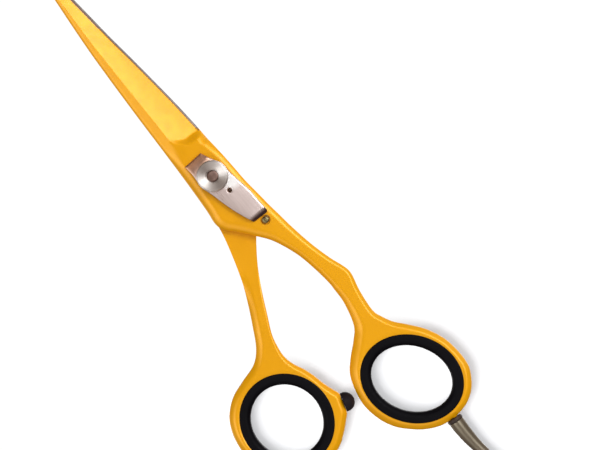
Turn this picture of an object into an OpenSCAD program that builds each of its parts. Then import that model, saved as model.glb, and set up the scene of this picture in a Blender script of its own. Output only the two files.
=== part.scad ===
// Hairdressing scissors: two forged and enamelled halves on a keyed pivot bolt,
// with a leaf spring and dial nut that set the blade tension, rubber ring inserts,
// a rubber closing stop and a screw-in finger rest.
// Frame: origin on the pivot axis at the flat back of the bolt head, which is the plane
// the scissors rest on. +Y runs along the closed blades towards the tips, and +Z out of
// the dial side. The modules below draw about the plane where the blades meet, and
// lift() raises each piece from there.

/* [Halves] */
// Thickness of one half at the pivot
half_t = 2.85; // [2.6:0.05:3.2]
// Gap between the two inner faces, shared by both halves
blade_gap = 0.1; // [0.06:0.02:0.16]
// Thickness of one blade where the ground facet starts
blade_t = 2.3; // [2:0.1:2.6]
// Thickness of one blade just behind the tip
tip_t = 1.1; // [0.9:0.1:1.4]
// Thickness left at the cutting edge
edge_t = 0.35; // [0.25:0.05:0.5]
// Thickness of the shanks and rings
ring_t = 5.0; // [4.6:0.1:5.4]
// Distance from the pivot where the half-lap ends
lap_r = 20.8; // [20.4:0.2:22]
// Length over which a shank grows from half-lap to full thickness
lap_run = 22; // [16:1:24]
// Edge rounding of the shanks and rings
ring_round = 1.8; // [1.2:0.1:2]
// Where along +Y the ground facet runs out
heel_y = 12.5; // [11:0.5:14]

/* [Ring inserts] */
// Finger opening, half of its long axis
finger_a = 10.9; // [10:0.1:11.5]
// Finger opening, half of its short axis
finger_b = 8.5; // [8:0.1:9]
// Thumb opening, half of its long axis
thumb_a = 9.9; // [9.4:0.1:10.3]
// Thumb opening, half of its short axis
thumb_b = 9.1; // [8.6:0.1:9.4]
// Wall of an insert inside the ring's hole
insert_wall = 1.3; // [1:0.1:1.6]
// Width of the lip that covers the ring's face beyond the hole
insert_lip = 1.7; // [1.3:0.1:1.8]
// Depth of the seat that the lip lies in
lip_seat = 0.9; // [0.7:0.05:1.1]
// How far an insert stands proud of the ring's face
insert_proud = 0.15; // [0:0.05:0.3]

/* [Pivot] */
// Radius of the bolt's plain shank
bolt_r = 2.0; // [1.8:0.05:2.1]
// Radius of the bolt's threaded end
thread_r = 1.5; // [1.3:0.05:1.6]
// Width across the bolt's two flats
bolt_flats = 3.3; // [3.1:0.1:3.5]
// Radius of the bolt head
head_r = 3.5; // [3.2:0.1:3.8]
// Height of the bolt head
head_h = 1.1; // [0.9:0.05:1.2]
// Radial clearance of the bolt in its bush
run_gap = 0.05; // [0.02:0.01:0.08]
// Outer radius of the bush
bush_r = 2.8; // [2.6:0.1:3]
// Outer radius of the glide washer
glide_r = 4.2; // [3.8:0.1:4.6]
// Thickness of the glide washer
glide_t = 0.3; // [0.24:0.02:0.4]

/* [Tension spring and dial] */
// Thickness of the leaf spring
leaf_t = 0.5; // [0.4:0.05:0.6]
// Height of the leaf spring's bridge above the half
leaf_rise = 0.9; // [0.6:0.1:1.1]
// Angle of the leaf spring from the blade line
leaf_turn = 10.6; // [8:0.2:13]
// Radius of the dial nut
dial_r = 4.2; // [3.8:0.1:4.4]
// Height of the dial nut
dial_h = 1.8; // [1.5:0.1:2.2]
// Depth of the dish in the dial's top
dial_dish = 0.35; // [0.2:0.05:0.5]
// Radius of the pin behind the spring's tail
tail_pin_r = 0.95; // [0.8:0.05:1.1]
// Radius of the dowel in the spring's hole
dowel_r = 0.48; // [0.4:0.02:0.52]

/* [Stop and finger rest] */
// Diameter of the rubber stop
stop_d = 5.2; // [4.2:0.1:5.6]
// Height of the rubber stop
stop_h = 3.1; // [2.5:0.1:3.4]
// Radius of the finger rest at its collar
rest_r = 1.9; // [1.6:0.1:2]
// Radius of the finger rest near its end
rest_end_r = 1.45; // [1.3:0.05:1.7]
// Curve radius of the finger rest
rest_bend = 45; // [40:1:70]
// Angle that the finger rest curves through
rest_sweep = 29; // [18:1:30]
// Length of the finger rest's threaded stub in the ring
stub_l = 2.4; // [1.8:0.1:2.5]
// Radius of the finger rest's threaded stub
stub_r = 1.2; // [1:0.05:1.3]

/* [Hidden] */
$fn = 48;

enamel = [0.95, 0.62, 0.05];
rubber = [0.09, 0.09, 0.10];
steel = [0.72, 0.70, 0.68];
bush_tan = [0.72, 0.52, 0.26];
glide_white = [0.92, 0.91, 0.86];
washer_brown = [0.2, 0.14, 0.1];

// Clearances
fit_gap = 0.01;   // pins and bush in their holes
slip_gap = 0.02;  // faces that lie together, inserts, stud
key_gap = 0.03;   // keyed hole and stub hole
seat_gap = 0.05;  // bolt head, stop and washer against their seats
end_gap = 0.1;    // beyond the end of a stud or stub

// How far cutters run past the surface they open
over = 1;
through = 12;
blind_cut = 5;

// Heights from the plane where the blades meet, and depths
face = blade_gap / 2 + half_t;         // outer face of a half at the pivot
head_seat = head_h + seat_gap;         // depth of the bolt head's seat
glide_seat = glide_t / 2 + slip_gap;   // depth of the glide washer's pocket in each half
blind_z = 1.2;                         // floor of the dowel and tail pin holes

// Places
finger_opening = [finger_a, finger_b];
finger_ring_at = [5.9, -74.6, 0];
finger_ring_turn = -58;
thumb_opening = [thumb_a, thumb_b];
thumb_ring_at = [-26.4, -61.9, 0];
thumb_ring_turn = -80;
stop_at = [-12.05, -67.85, 0];
stop_turn = -17;
rest_at = [7.75, -89.7, 0];
rest_turn = -5;
notch_at = [5.8, 9.2];
notch_r = 0.8;
dowel_y = -5.8;      // along the leaf spring
tail_pin_y = -18;

stud_r = 0.79;
stud_l = 4.1;
stud_depth = 2.6;    // part of the stud inside the thumb half
rest_washer_h = 1;

// Corners of a half's section
corner_steps = 3;
inner_break = 0.04;        // edge break on the inner face
lap_spine = [2.0, 0.8];    // spine corner at the pivot: in, down
lap_edge = [1.4, 0.6];     // cutting side corner at the pivot: in, down
blade_spine = [0.24, 0.35];  // spine corner of the blade, shares of width and thickness
facet_share = 0.68;        // ground facet's share of the blade's width
lap_bow = 0.35;
shank_bow = 0.45;
spine_bow = 0.3;
shank_crown = 0.25;        // rise of the section's middle on shanks and rings
smooth_steps = 3;

// Stations down each half from the tip to the end of its ring:
// left edge x, y, then right edge x, y.
finger_rows = [
    [-0.8, 75.5, -0.35, 75.5], [-1.0, 73, 0.1, 73], [-1.5, 68, 0.8, 68],
    [-2.1, 62, 1.35, 62], [-3.0, 54, 1.95, 54], [-3.8, 46, 2.5, 46],
    [-4.4, 38, 3.25, 38], [-4.9, 30, 3.95, 30], [-5.35, 22, 4.55, 22],
    [-5.75, 14, 4.95, 14], [-6.2, 6, 5.5, 6], [-6.6, 0, 5.75, 0],
    [-7.1, -6, 5.85, -6], [-7.6, -10, 6.15, -10], [-6.9, -12.6, 6.35, -12.5],
    [-4.6, -15.3, 6.55, -15.3], [-1.8, -18.9, 6.95, -18.9], [1.3, -23.4, 7.4, -23.4],
    [3.8, -30, 8.4, -30], [4.9, -36, 9.8, -36], [5.4, -41, 11.3, -40.6],
    [5.35, -43.5, 11.5, -43.2], [5.0, -48, 10.3, -48], [3.2, -54, 9.6, -54],
    [0.6, -57, 10.4, -57], [-2.9, -60, 11.9, -60], [-5.7, -63, 14.3, -63],
    [-7.4, -67, 17.2, -67], [-8.3, -72, 19.3, -72], [-7.6, -77, 19.95, -77],
    [-5.9, -81, 19.7, -81], [-3.5, -84, 18.4, -84], [-0.1, -87, 15.9, -87],
    [3.8, -89, 12.6, -88.9], [7.6, -89.65, 8.9, -89.65]];

thumb_rows = [
    [-0.15, 75.2, 0.3, 75.2], [-0.35, 72.8, 0.6, 72.8], [-0.9, 68, 1.1, 68],
    [-1.5, 62, 1.65, 62], [-2.4, 54, 2.25, 54], [-3.2, 46, 2.8, 46],
    [-3.8, 38, 3.55, 38], [-4.3, 30, 4.2, 30], [-4.75, 22, 4.8, 22],
    [-5.15, 14, 5.2, 14], [-5.6, 6, 5.35, 6], [-6.0, 0, 5.45, 0],
    [-6.6, -6, 5.5, -6], [-7.5, -11.5, 5.2, -10.6], [-8.3, -15, 3.3, -13.6],
    [-9.3, -18.4, 0.7, -17], [-10.6, -22.4, -2.6, -20.9], [-12.3, -27, -6.2, -25.8],
    [-14.7, -32, -9.5, -31.4], [-17.4, -37, -12.4, -37], [-20.4, -42, -14.9, -42],
    [-23.8, -45, -15.9, -45.8], [-28.8, -46.5, -16.15, -48.6], [-33.4, -48.1, -15.6, -51.4],
    [-37.1, -51, -14.3, -54.4], [-39.2, -54.3, -13.4, -57.4], [-40.4, -58.2, -12.75, -60.6],
    [-40.65, -61.6, -11.85, -63.6], [-40.5, -64.2, -11.3, -65.5], [-39.6, -67.2, -11.95, -67.9],
    [-38.0, -70.2, -12.85, -70.3], [-36.2, -72.5, -14.5, -71.9],
    [-34, -74.3, -16.9, -73.9], [-30, -76.4, -20.4, -76.1], [-25.9, -77.1, -24.6, -77.1]];

tip_y = finger_rows[0][1];

// Sides of the leaf spring, x and y along it; both ends are cut a little slanted.
leaf_right = [
    [2.6, 6.4], [3.1, 4.1], [3.85, 1.4], [4.0, 0], [3.9, -1.6], [3.6, -4], [3.55, -6],
    [3.48, -9], [3.28, -10.8], [2.95, -12.5], [2.45, -15.6], [2.25, -16.6], [1.85, -17.05]];
leaf_left = [
    [-2.8, 7.1], [-3.2, 4.1], [-3.9, 1.4], [-4.1, 0], [-4.0, -1.6], [-3.85, -4], [-3.75, -6.4],
    [-3.58, -9], [-3.35, -11], [-2.95, -13.4], [-2.65, -15], [-2.5, -15.75], [-2.1, -16.15]];

function ease(t) = let (u = min(max(t, 0), 1)) u * u * (3 - 2 * u);
function mix(from, to, t) = from + (to - from) * t;
function reversed(list) = [for (i = [len(list) - 1:-1:0]) list[i]];

// Catmull-Rom curve from p1 to p2, and the same through a whole list of rows.
function span(p0, p1, p2, p3, t) =
    0.5 * (2 * p1 + (p2 - p0) * t + (2 * p0 - 5 * p1 + 4 * p2 - p3) * t * t
        + (3 * p1 - p0 - 3 * p2 + p3) * t * t * t);
function smooth(rows) = let (last = len(rows) - 1) concat(
    [for (i = [0:last - 1]) for (j = [0:smooth_steps - 1])
        span(rows[max(i - 1, 0)], rows[i], rows[i + 1], rows[min(i + 2, last)],
            j / smooth_steps)],
    [rows[last]]);

// Inward normal of an edge, found from the stations beside station i.
// column 0, side 1 is the left edge; column 2, side -1 is the right edge.
function inward(rows, i, column, side) = let (
    before = rows[max(i - 1, 0)],
    after = rows[min(i + 1, len(rows) - 1)],
    run = [after[column] - before[column], after[column + 1] - before[column + 1]])
    side * [-run[1], run[0]] / norm(run);

// One corner of a section, [in from the edge, distance from the face], swept from the
// edge to the face; bow 1 is a round corner and bow 0 a flat chamfer.
function corner(width, height, bow) = [for (j = [0:corner_steps])
    let (share = j / corner_steps, angle = 90 * share)
    [mix(width * share, width * (1 - cos(angle)), bow),
     mix(height * (1 - share), height * (1 - sin(angle)), bow)]];

// Points up one side of a section, from the inner face to the outer face.
function flank(edge, normal, z_low, z_high, lower, upper) = concat(
    [for (c = reversed(lower)) concat(edge + normal * c[0], z_low + c[1])],
    [for (c = upper) concat(edge + normal * c[0], z_high - c[1])]);

// The section of a half at station i. cut_right tells which edge is the cutting one.
// Heights are for the half whose outer face is +Z.
function section(rows, i, cut_right) = let (
    left = [rows[i][0], rows[i][1]],
    right = [rows[i][2], rows[i][3]],
    width = norm(right - left),
    middle = (left + right) / 2,
    y = middle[1],
    // 0 to 1: half-lap to full shank, and unground to ground blade
    shank = y > 0 ? 0 : ease((norm(middle) - lap_r) / lap_run),
    ground = y > 0 ? ease((y - heel_y + 3.5) / 4.5) : 0,
    blade_top = mix(blade_t, tip_t, (y - heel_y) / (tip_y - heel_y)),
    lap_top = mix(face, blade_gap / 2 + blade_top, ease((y - 3) / (heel_y + 4))),
    z_low = mix(blade_gap / 2, -ring_t / 2, shank),
    z_high = mix(lap_top, ring_t / 2, shank),
    height = z_high - z_low,
    low = mix(inner_break, ring_round, shank),
    spine_in = mix(mix(lap_spine[0], ring_round, shank), blade_spine[0] * width, ground),
    spine_down = mix(mix(lap_spine[1], ring_round, shank), blade_spine[1] * height, ground),
    cut_in = mix(mix(lap_edge[0], ring_round, shank), facet_share * width, ground),
    cut_down = mix(mix(lap_edge[1], ring_round, shank), height - edge_t - inner_break, ground),
    bow = mix(lap_bow, shank_bow, shank) * (1 - ground),
    under = corner(low, low, shank_bow),
    // limits on the widths keep the two upper corners apart on narrow sections
    spine = corner(min(spine_in, 0.4 * width), spine_down, mix(bow, spine_bow, ground)),
    cutting = corner(min(cut_in, 0.69 * width), cut_down, bow),
    left_side = flank(left, inward(rows, i, 0, 1), z_low, z_high,
        under, cut_right ? spine : cutting),
    right_side = flank(right, inward(rows, i, 2, -1), z_low, z_high,
        under, cut_right ? cutting : spine),
    top = len(left_side) - 1,
    crown = [0, 0, shank_crown * shank])
    concat([(left_side[0] + right_side[0]) / 2 - crown], left_side,
           [(left_side[top] + right_side[top]) / 2 + crown], reversed(right_side));

// Triangles between successive rings of points.
function skin(rings, size) = [for (i = [0:rings - 2]) for (j = [0:size - 1]) let (
    here = i * size,
    there = here + size,
    next = (j + 1) % size)
    each [[here + j, here + next, there + next], [here + j, there + next, there + j]]];

// Triangles that close the section whose first point is start, in strips between its
// two sides. Left and right points are counted up from the inner face.
function cap(start, size) = let (
    side = (size - 2) / 2,
    crest = start + 1 + side,
    left = [for (j = [0:side - 1]) start + 1 + j],
    right = [for (j = [0:side - 1]) start + size - 1 - j])
    concat(
        [[left[1], left[0], start], [left[1], start, right[0]], [left[1], right[0], right[1]]],
        [for (j = [1:side - 3]) each [
            [left[j], right[j], right[j + 1]], [left[j], right[j + 1], left[j + 1]]]],
        [[left[side - 2], right[side - 2], right[side - 1]],
         [left[side - 2], right[side - 1], crest],
         [left[side - 2], crest, left[side - 1]]]);

// Solid through all sections of a half.
module loft(rows, cut_right) {
    stations = smooth(rows);
    count = len(stations);
    sections = [for (i = [0:count - 1]) section(stations, i, cut_right)];
    size = len(sections[0]);
    polyhedron(
        points = [for (ring = sections) each ring],
        faces = concat(skin(count, size), cap(0, size),
            [for (f = cap((count - 1) * size, size)) reversed(f)]));
}

// Oval prism centred on z = 0, grown outwards from a ring opening.
module oval(opening, grow, h) {
    linear_extrude(h, center = true)
        polygon([for (i = [0:71])
            [(opening[0] + grow) * cos(5 * i), (opening[1] + grow) * sin(5 * i)]]);
}

// Placing frames
module lift() { translate([0, 0, face]) children(); }
module at_finger_ring() {
    translate(finger_ring_at) rotate([0, 0, finger_ring_turn]) children();
}
module at_thumb_ring() {
    translate(thumb_ring_at) rotate([0, 0, thumb_ring_turn]) children();
}
module at_leaf() { rotate([0, 0, leaf_turn]) children(); }
module at_dowel() { at_leaf() translate([0, dowel_y, blind_z]) children(); }
module at_tail_pin() { at_leaf() translate([0, tail_pin_y, blind_z]) children(); }
// +Z points out of the thumb ring's side
module at_stop() {
    translate(stop_at) rotate([0, 0, stop_turn]) rotate([0, 90, 0]) children();
}
// +Z points out of the finger ring's end
module at_rest() {
    translate(rest_at) rotate([0, 0, rest_turn]) rotate([90, 0, 0]) children();
}

// Hole for an insert: through hole and a seat for the lip in each face.
module ring_hole(opening) {
    cut_h = 10;
    oval(opening, insert_wall, 2 * cut_h);
    for (k = [-1, 1]) translate([0, 0, k * (ring_t / 2 - lip_seat + cut_h / 2)])
        oval(opening, insert_wall + insert_lip, cut_h);
}

// Rubber insert with a groove that grips the ring's web.
module ring_insert(opening) {
    h = ring_t + 2 * insert_proud;
    lip_h = insert_proud + lip_seat - slip_gap;
    difference() {
        union() {
            oval(opening, insert_wall - slip_gap, h);
            for (k = [-1, 1]) translate([0, 0, k * (h - lip_h) / 2])
                oval(opening, insert_wall + insert_lip - slip_gap, lip_h);
        }
        oval(opening, 0, 20);
    }
}

// Block as wide as the bolt's flats, with a gap on each side.
module flats_block(gap) {
    cube([2 * bolt_r + 1, bolt_flats + 2 * gap, 14], center = true);
}

module finger_half() {
    color(enamel) lift() difference() {
        loft(finger_rows, true);
        at_finger_ring() ring_hole(finger_opening);
        // keyed hole for the bolt
        intersection() {
            cylinder(r = bolt_r + key_gap, h = through, center = true);
            flats_block(key_gap);
        }
        // pocket for the glide washer
        translate([0, 0, -over]) cylinder(r = glide_r + 0.1, h = over + glide_seat);
        // heel notch at the root of the cutting edge
        translate([notch_at[0], notch_at[1], -over]) cylinder(r = notch_r, h = 8);
        // holes for the dowel and the tail pin
        at_dowel() cylinder(r = dowel_r + fit_gap, h = blind_cut);
        at_tail_pin() cylinder(r = tail_pin_r + fit_gap, h = blind_cut);
        // threaded hole for the finger rest
        at_rest() translate([0, 0, -stub_l - end_gap])
            cylinder(r = stub_r + key_gap, h = stub_l + 3);
    }
}

module thumb_half() {
    color(enamel) lift() difference() {
        mirror([0, 0, 1]) loft(thumb_rows, false);
        at_thumb_ring() ring_hole(thumb_opening);
        // bush hole, bolt head seat and glide washer pocket
        cylinder(r = bush_r, h = through, center = true);
        translate([0, 0, -face - over]) cylinder(r = head_r + seat_gap, h = over + head_seat);
        translate([0, 0, -glide_seat]) cylinder(r = glide_r + 0.1, h = over);
        // hole for the stop's stud
        at_stop() translate([0, 0, -stud_depth - end_gap])
            cylinder(r = stud_r + slip_gap, h = blind_cut);
        // spot-faced seat for the bumper
        at_stop() cylinder(r = stop_d / 2 + 0.12, h = 3);
    }
}

// Headed bolt with a plain, a flatted and a threaded length, overlapped where they join.
module pivot_bolt() {
    bevel = 0.35;
    overlap = 0.1;
    thread_share = 0.62;  // share of the dial's height that the thread reaches
    color(steel) lift() union() {
        translate([0, 0, -face]) rotate_extrude()
            polygon([[0, 0], [head_r - bevel, 0], [head_r, bevel], [head_r, head_h],
                     [0, head_h]]);
        translate([0, 0, -face + head_h - overlap])
            cylinder(r = bolt_r, h = face - head_h + overlap);
        intersection() {
            translate([0, 0, -0.01]) cylinder(r = bolt_r, h = face + 0.01);
            flats_block(0);
        }
        translate([0, 0, face - overlap])
            cylinder(r = thread_r, h = leaf_rise + leaf_t + dial_h * thread_share + overlap);
    }
}

module pivot_bush() {
    color(bush_tan) lift() translate([0, 0, -face + head_seat]) difference() {
        cylinder(r = bush_r - fit_gap, h = face - head_seat - glide_seat);
        translate([0, 0, -over]) cylinder(r = bolt_r + run_gap, h = 6);
    }
}

module glide_washer() {
    color(glide_white) lift() difference() {
        cylinder(r = glide_r, h = glide_t, center = true);
        cylinder(r = bolt_r + 0.08, h = 2, center = true);
    }
}

// Bent strip: head flap and tail reach down to the half, the bridge carries the dial.
module tension_leaf_spring() {
    low = face + slip_gap;
    high = face + leaf_rise;
    // underside, y and z
    under = [[7.3, low], [4.2, high], [-15.3, high], [-16.55, low], [-17.2, low]];
    color(steel) lift() at_leaf() difference() {
        intersection() {
            linear_extrude(through)
                polygon(concat(smooth(leaf_right), reversed(smooth(leaf_left))));
            translate([-6, 0, 0]) rotate([90, 0, 90]) linear_extrude(through)
                polygon(concat(under, [for (p = reversed(under)) p + [0, leaf_t]]));
        }
        cylinder(r = thread_r + 0.08, h = through);
        translate([0, dowel_y, 0]) cylinder(r = dowel_r + 0.12, h = through);
    }
}

// Dial with bevelled rims and a dished top.
module tension_nut() {
    bore = thread_r + 0.05;
    foot_bevel = 0.25;
    rim_bevel = 0.3;
    rim_land = 0.25;
    bore_bevel = [0.25, 0.2];
    dish_z = dial_h - dial_dish;
    color(steel) lift() translate([0, 0, face + leaf_rise + leaf_t + fit_gap]) rotate_extrude()
        polygon([[bore, 0], [dial_r - foot_bevel, 0], [dial_r, foot_bevel],
                 [dial_r, dial_h - rim_bevel], [dial_r - rim_bevel, dial_h],
                 [dial_r - rim_bevel - rim_land, dial_h],
                 [bore + bore_bevel[0], dish_z], [bore, dish_z - bore_bevel[1]]]);
}

// Pin with a low pointed cap.
module spring_tail_pin() {
    h = face - blind_z + 0.6;
    color(steel) lift() at_tail_pin() union() {
        cylinder(r = tail_pin_r, h = h);
        translate([0, 0, h - 0.01]) rotate_extrude()
            polygon([[0, 0], [tail_pin_r, 0], [tail_pin_r - 0.25, 0.22], [0, 0.3]]);
    }
}

module spring_locating_dowel() {
    into_leaf = 0.25;
    color(steel) lift() at_dowel()
        cylinder(r = dowel_r, h = face + leaf_rise + into_leaf - blind_z);
}

module finger_ring_insert() {
    color(rubber) lift() at_finger_ring() ring_insert(finger_opening);
}

module thumb_ring_insert() {
    color(rubber) lift() at_thumb_ring() ring_insert(thumb_opening);
}

// Domed rubber stop on the side of the thumb ring, with a blind hole for its stud.
module stop_bumper() {
    r = stop_d / 2;
    base_h = 0.5;
    color(rubber) lift() at_stop() difference() {
        translate([0, 0, seat_gap]) rotate_extrude()
            polygon(concat([[0, 0], [r, 0], [r, base_h]],
                [for (q = [15:15:90]) [r * cos(q), base_h + (stop_h - base_h) * sin(q)]]));
        translate([0, 0, -over])
            cylinder(r = stud_r + slip_gap, h = over + stud_l - stud_depth + end_gap);
    }
}

module bumper_stud() {
    color(steel) lift() at_stop() translate([0, 0, -stud_depth]) cylinder(r = stud_r, h = stud_l);
}

// Curved horn with a rounded end, and a threaded stub.
module finger_rest() {
    steps = 20;
    sides = 20;
    dome = 0.93;       // share of the length where the rounded end starts
    dome_run = 0.0705; // a little over the rest of the length, so the end stays open
    function radius(u) = mix(rest_r, rest_end_r, ease(u))
        * (u > dome ? sqrt(1 - pow((u - dome) / dome_run, 2)) : 1);
    shares = concat([for (i = [0:steps]) dome * i / steps],
        [for (j = [1:6]) dome + (1 - dome) * sin(15 * j)]);
    points = [for (u = shares) let (q = rest_sweep * u, r = radius(u))
        for (j = [0:sides - 1]) let (a = 360 * j / sides)
            [rest_bend * (1 - cos(q)) + r * cos(a) * cos(q), r * sin(a),
             rest_bend * sin(q) - r * cos(a) * sin(q)]];
    count = len(shares);
    color(steel) lift() at_rest() union() {
        translate([0, 0, seat_gap + rest_washer_h + slip_gap])
            polyhedron(points = points, faces = concat(
                [for (f = skin(count, sides)) reversed(f)],
                [[for (j = [0:sides - 1]) j]],
                [[for (j = [sides - 1:-1:0]) (count - 1) * sides + j]]));
        translate([0, 0, -stub_l]) cylinder(r = stub_r, h = stub_l + 2);
    }
}

module finger_rest_washer() {
    color(washer_brown) lift() at_rest() difference() {
        translate([0, 0, seat_gap]) cylinder(r = 2.1, h = rest_washer_h);
        cylinder(r = stub_r + 0.06, h = 6, center = true);
    }
}

finger_half();
thumb_half();
pivot_bolt();
pivot_bush();
glide_washer();
tension_leaf_spring();
tension_nut();
spring_tail_pin();
spring_locating_dowel();
finger_ring_insert();
thumb_ring_insert();
stop_bumper();
bumper_stud();
finger_rest();
finger_rest_washer();
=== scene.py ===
"""Scissors with yellow enamelled halves, ring inserts, a leaf spring under a dial, and a finger rest.

The pieces are laid out in millimetres in the row frame and built in metres. The pivot is the Z axis,
the blades point to +Y and the finger rings to -Y. The halves meet at the parting plane, Z = PARTING:
the finger half lies above it, the thumb half below it, with its outer face on Z = 0.
"""
import math

import bmesh
import bpy
import numpy as np
from mathutils import Matrix, Vector
from mathutils.geometry import delaunay_2d_cdt


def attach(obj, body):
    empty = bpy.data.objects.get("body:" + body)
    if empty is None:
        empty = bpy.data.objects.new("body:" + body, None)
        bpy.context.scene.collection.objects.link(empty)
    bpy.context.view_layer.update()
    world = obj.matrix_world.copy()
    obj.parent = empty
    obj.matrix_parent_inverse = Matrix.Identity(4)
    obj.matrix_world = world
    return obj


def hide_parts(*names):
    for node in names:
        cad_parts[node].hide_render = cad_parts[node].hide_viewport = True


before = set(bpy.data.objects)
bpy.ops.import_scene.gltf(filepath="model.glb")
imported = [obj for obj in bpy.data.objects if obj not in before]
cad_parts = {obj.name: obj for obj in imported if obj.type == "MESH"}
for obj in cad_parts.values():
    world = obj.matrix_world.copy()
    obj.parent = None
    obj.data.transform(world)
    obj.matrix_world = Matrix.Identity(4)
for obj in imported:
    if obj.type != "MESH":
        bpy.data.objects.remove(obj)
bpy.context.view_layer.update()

# ------------------------------------------------------------------ dimensions, mm
MM = 0.001
FACE = 2.9                      # outer face at the pivot, from the parting plane
PARTING = FACE                  # height of the parting plane
OUTER = PARTING + FACE          # height of the finger half's outer face
GAP = 0.05                      # inner face to parting plane
RING = 2.5                      # half thickness of shanks and rings
LAP_RADIUS = 20.8               # the half-lap starts to thicken here
LAP_RUN = 22.0                  # and is at full thickness after this run
HEEL = 12.5                     # Y where the ground blade begins
TIP = 75.5                      # Y of the tips
BLADE_RUN = 60                  # length over which the blade's sections change
CREST = 0.275                   # ridge's place across the blade, from spine to cutting edge

# Stations down each half, tip to ring end: left x, y, right x, y.
FINGER_ROWS = [
    [-0.8, 75.5, -0.35, 75.5], [-1.0, 73, 0.1, 73], [-1.5, 68, 0.8, 68],
    [-2.1, 62, 1.35, 62], [-3.0, 54, 1.95, 54], [-3.8, 46, 2.5, 46],
    [-4.4, 38, 3.25, 38], [-4.9, 30, 3.95, 30], [-5.35, 22, 4.55, 22],
    [-5.75, 14, 4.95, 14], [-6.2, 6, 5.5, 6], [-6.6, 0, 5.75, 0],
    [-7.1, -6, 5.85, -6], [-7.6, -10, 6.15, -10], [-6.9, -12.6, 6.35, -12.5],
    [-4.6, -15.3, 6.55, -15.3], [-1.8, -18.9, 6.95, -18.9], [1.3, -23.4, 7.4, -23.4],
    [3.8, -30, 8.4, -30], [4.9, -36, 9.8, -36], [5.4, -41, 11.3, -40.6],
    [5.35, -43.5, 11.5, -43.2], [5.0, -48, 10.3, -48], [3.2, -54, 9.6, -54],
    [0.6, -57, 10.4, -57], [-2.9, -60, 11.9, -60], [-5.7, -63, 14.3, -63],
    [-7.4, -67, 17.2, -67], [-8.3, -72, 19.3, -72], [-7.6, -77, 19.95, -77],
    [-5.9, -81, 19.7, -81], [-3.5, -84, 18.4, -84], [-0.1, -87, 15.9, -87],
    [3.8, -89, 12.6, -88.9], [7.6, -89.65, 8.9, -89.65]]
THUMB_ROWS = [
    [-0.15, 75.2, 0.3, 75.2], [-0.35, 72.8, 0.6, 72.8], [-0.9, 68, 1.1, 68],
    [-1.5, 62, 1.65, 62], [-2.4, 54, 2.25, 54], [-3.2, 46, 2.8, 46],
    [-3.8, 38, 3.55, 38], [-4.3, 30, 4.2, 30], [-4.75, 22, 4.8, 22],
    [-5.15, 14, 5.2, 14], [-5.6, 6, 5.35, 6], [-6.0, 0, 5.45, 0],
    [-6.6, -6, 5.5, -6], [-7.5, -11.5, 5.2, -10.6], [-8.3, -15, 3.3, -13.6],
    [-9.3, -18.4, 0.7, -17], [-10.6, -22.4, -2.6, -20.9], [-12.3, -27, -6.2, -25.8],
    [-14.7, -32, -9.5, -31.4], [-17.4, -37, -12.4, -37], [-20.4, -42, -14.9, -42],
    [-23.8, -45, -15.9, -45.8], [-28.8, -46.5, -16.15, -48.6], [-33.4, -48.1, -15.6, -51.4],
    [-37.1, -51, -14.3, -54.4], [-39.2, -54.3, -13.4, -57.4], [-40.4, -58.2, -12.75, -60.6],
    [-40.65, -61.6, -11.85, -63.6], [-40.5, -64.2, -11.3, -65.5], [-39.6, -67.2, -11.95, -67.9],
    [-38.0, -70.2, -12.85, -70.3], [-36.2, -72.5, -14.5, -71.9],
    [-34, -74.3, -16.9, -73.9], [-30, -76.4, -20.4, -76.1], [-25.9, -77.1, -24.6, -77.1]]

# Finger holes: centre, turn of the long axis in degrees, half axes.
FINGER_HOLE = dict(centre=(5.9, -74.6), turn=-58.0, long=10.9, short=8.5)
THUMB_HOLE = dict(centre=(-26.4, -61.9), turn=-80.0, long=9.9, short=9.1)
WALL = 1.3                      # insert's thickness inside the steel ring
LIP = 1.7                       # its lip's reach over the ring's face
SEAT = 0.9                      # depth of the lip's seat
PROUD = 0.15                    # insert above the ring's face

# Edge roundings of each half. Outer columns: widths, drops at EDGE_STATIONS.
# Inner columns: widths, drops, powers at INNER_STATIONS, or one value for all of them.
EDGE_STATIONS = [10, 16, 27, 42, 56, 70]        # distance from the pivot
INNER_STATIONS = [26, 46, 56, 70]
FINGER = dict(
    rows=FINGER_ROWS, hole=FINGER_HOLE, cuts_right=True,
    notch=dict(centre=(5.8, 9.2), radius=0.8),
    outer_spine=([2.3, 2.4, 1.4, 1.3, 2.3, 2.0], [1.6, 1.4, 1.1, 1.0, 1.55, 1.5]),
    outer_cut=([1.5, 1.5, 1.2, 0.9, 1.2, 1.3], [0.6, 0.7, 0.8, 0.7, 1.2, 1.3]),
    inner_spine=(1.5, 1.45, 1.25),
    inner_cut=(1.3, 1.35, 1.25))
THUMB = dict(
    rows=THUMB_ROWS, hole=THUMB_HOLE, cuts_right=False, notch=None,
    outer_spine=([2.1, 2.0, 1.4, 1.2, 1.4, 1.5], [1.6, 1.4, 1.1, 1.0, 1.3, 1.4]),
    outer_cut=([1.5, 1.6, 1.4, 1.2, 1.4, 1.5], [0.6, 0.8, 1.0, 1.1, 1.3, 1.4]),
    inner_spine=([0.26, 0.30, 1.1, 1.35], [0.22, 0.28, 1.0, 1.35], [1.1, 1.1, 1.4, 1.4]),
    inner_cut=([1.9, 1.9, 1.8, 1.6], [1.15, 1.25, 1.35, 1.4], 1.4))

# Pivot stack
BOLT_RADIUS = 2.0
BOLT_FLAT = 1.65                # half width across the bolt's flats
KEY_CLEARANCE = 0.03
HEAD_RADIUS = 3.5
HEAD_SEAT_RADIUS = 3.55
HEAD_SEAT_TOP = 1.15
BUSH_BORE = 2.8
WASHER_SEAT_RADIUS = 4.3
WASHER_SEAT_DEPTH = 0.17
DIAL_HEIGHT = 1.8

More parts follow.
